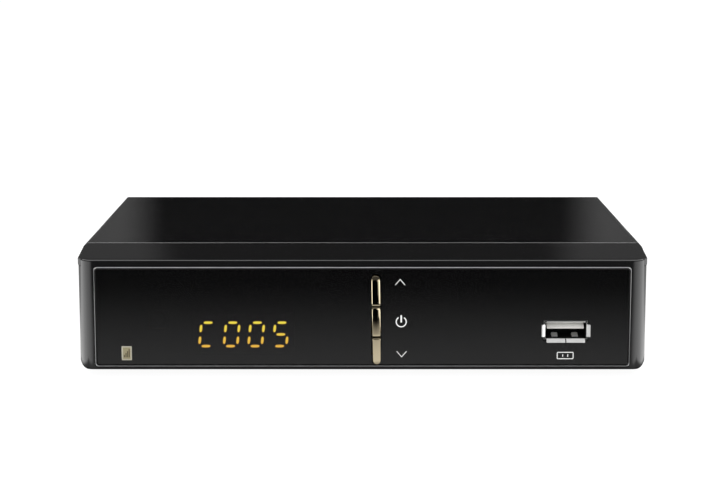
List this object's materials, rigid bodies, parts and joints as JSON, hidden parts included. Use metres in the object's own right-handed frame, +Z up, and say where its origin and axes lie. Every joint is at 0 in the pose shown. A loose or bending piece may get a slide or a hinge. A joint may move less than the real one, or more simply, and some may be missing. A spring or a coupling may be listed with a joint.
{
  "type": "digital converter box",
  "caption": "Low gloss black set-top box with a sloped brow, a smoked display window with lit figures, an upright strip of chrome keys, a front data port and rear sockets.",
  "frame": {"origin": "on the surface that the feet stand on, under the middle of the whole object", "axes": "+Z up, the front faces -Y, +X to the right seen from the front"},
  "size_m": [0.17, 0.128, 0.038],
  "materials": {
    "gloss_black": "polished black moulding, clear reflections",
    "satin_black": "fine textured black moulding",
    "window_acrylic": "smoked clear acrylic with a polished bevel",
    "panel_black": "black powder paint on sheet steel",
    "foot_rubber": "black rubber pads",
    "screw_steel": "zinc plated steel",
    "key_chrome": "bright chrome with a champagne tint",
    "plate_champagne": "satin champagne metal",
    "switch_grey": "grey switch bodies",
    "plunger_black": "black moulded plastic",
    "board_tan": "bare tan laminate",
    "board_green": "green solder mask on laminate",
    "module_black": "matte black readout body",
    "segment_amber": "lit amber segments",
    "eye_dark": "dark red receiver lens",
    "header_ivory": "ivory moulded headers",
    "ribbon_grey": "pale grey ribbon insulation",
    "socket_tin": "tin plated sheet",
    "tongue_white": "pale moulded tongue",
    "contact_gold": "gold flashed contacts",
    "can_tin": "dull tinned screen",
    "socket_nickel": "bright nickel plating",
    "insulator_white": "white insulator",
    "block_black": "black moulded socket bodies",
    "jack_yellow": "yellow moulded jack",
    "jack_white": "white moulded jack",
    "jack_red": "red moulded jack",
    "jack_orange": "orange moulded jack",
    "chip_black": "black epoxy packages",
    "pad_grey": "soft grey-blue pad",
    "sink_aluminium": "extruded aluminium",
    "crystal_steel": "drawn steel can",
    "capacitor_blue": "dark blue sleeve over an aluminium can",
    "inductor_grey": "dark ferrite block"
  },
  "bodies": {
    "case": {"top_shell": "gloss_black", "front_bezel": "gloss_black", "bottom_shell": "satin_black", "display_window": "window_acrylic", "rear_panel": "panel_black", "rubber_feet": "foot_rubber", "case_screws": "screw_steel", "front_board_screws": "screw_steel", "main_board_screws": "screw_steel", "panel_screws": "screw_steel", "champagne_plate": "plate_champagne", "tact_switches": "switch_grey", "picture_tongue": "plunger_black", "front_board": "board_tan", "main_board": "board_green", "display_module": "module_black", "lit_segments": "segment_amber", "receiver_eye": "eye_dark", "front_header": "header_ivory", "main_header": "header_ivory", "ribbon_cable": "ribbon_grey", "port_shell": "socket_tin", "picture_socket": "socket_tin", "port_tongue": "tongue_white", "port_contacts": "contact_gold", "tuner_can": "can_tin", "antenna_sockets": "socket_nickel", "jack_sleeves": "socket_nickel", "power_pin": "socket_nickel", "antenna_insulators": "insulator_white", "av_block": "block_black", "coax_block": "block_black", "power_socket": "block_black", "video_jack": "jack_yellow", "left_jack": "jack_white", "right_jack": "jack_red", "coax_jack": "jack_orange", "processor": "chip_black", "memory_chip": "chip_black", "flash_chip": "chip_black", "regulator": "chip_black", "thermal_pad": "pad_grey", "heat_sink": "sink_aluminium", "crystal_can": "crystal_steel", "storage_capacitors": "capacitor_blue", "power_inductor": "inductor_grey"},
    "channel_up": {"channel_up_key": "key_chrome", "channel_up_plunger": "plunger_black"},
    "power": {"power_key": "key_chrome", "power_plunger": "plunger_black"},
    "channel_down": {"channel_down_key": "key_chrome", "channel_down_plunger": "plunger_black"}
  },
  "joints": [
    {"name": "channel_up_press", "type": "slide", "parent": "case", "child": "channel_up", "axis": [0, 1, 0], "range_m": [0, 0.0005], "stiffness_N_per_m": 3000},
    {"name": "power_press", "type": "slide", "parent": "case", "child": "power", "axis": [0, 1, 0], "range_m": [0, 0.0005], "stiffness_N_per_m": 3000},
    {"name": "channel_down_press", "type": "slide", "parent": "case", "child": "channel_down", "axis": [0, 1, 0], "range_m": [0, 0.0005], "stiffness_N_per_m": 3000}
  ]
}
